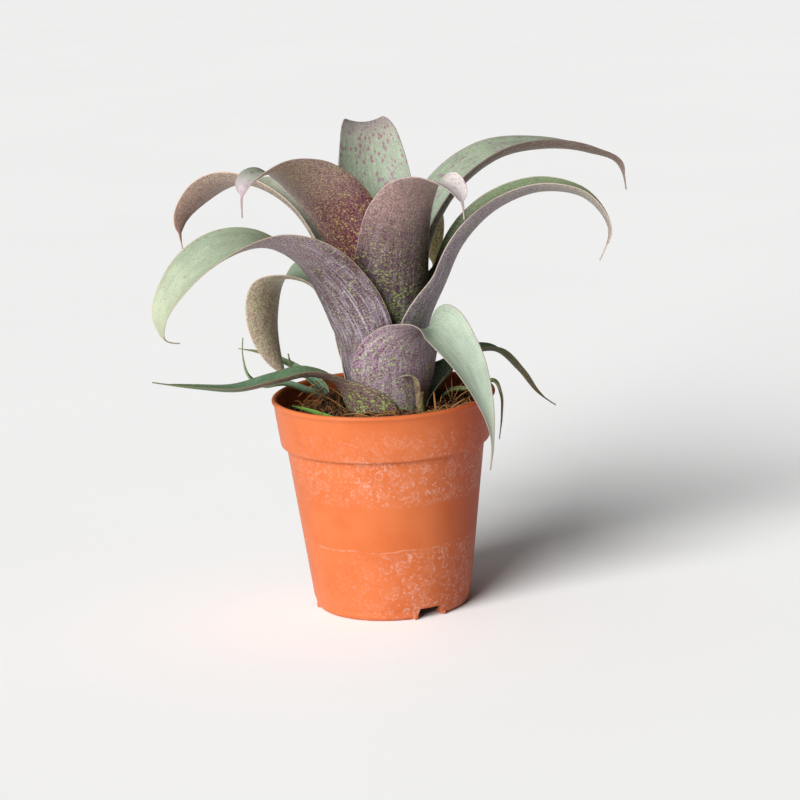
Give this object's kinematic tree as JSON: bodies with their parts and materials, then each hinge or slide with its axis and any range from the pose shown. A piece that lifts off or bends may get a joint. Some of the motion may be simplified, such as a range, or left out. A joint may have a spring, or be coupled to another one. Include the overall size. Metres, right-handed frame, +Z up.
{
  "type": "potted bromeliad",
  "caption": "A bromeliad rosette with broad arching spotted leaves and small side shoots, growing in potting mix in a round tapered plastic nursery pot that stands on its foot.",
  "frame": {"origin": "centre of the pot's foot, on the surface it stands on", "axes": "+Z up along the pot's axis; -Y to the front, the side the picture shows; +X to the right in the picture"},
  "size_m": [0.1953, 0.1121, 0.1926],
  "materials": {
    "pot_plastic": "satin",
    "potting_mix": "matte",
    "plant_tissue": "satin"
  },
  "bodies": {
    "root": {"pot": "pot_plastic", "potting_mix": "potting_mix", "stem": "plant_tissue", "heart_bud": "plant_tissue", "heart_leaf_right": "plant_tissue", "heart_leaf_left": "plant_tissue", "back_top_leaf": "plant_tissue", "left_upper_back_leaf": "plant_tissue", "left_upper_leaf": "plant_tissue", "right_upper_leaf": "plant_tissue", "front_centre_leaf": "plant_tissue", "right_middle_leaf": "plant_tissue", "left_low_back_leaf": "plant_tissue", "left_big_leaf": "plant_tissue", "back_inner_leaf": "plant_tissue", "front_low_leaf": "plant_tissue", "back_low_leaf": "plant_tissue", "left_narrow_leaf": "plant_tissue", "right_narrow_leaf": "plant_tissue", "offset_shoot": "plant_tissue", "front_shoot": "plant_tissue", "left_shoot": "plant_tissue", "right_low_shoot": "plant_tissue"}
  },
  "joints": []
}
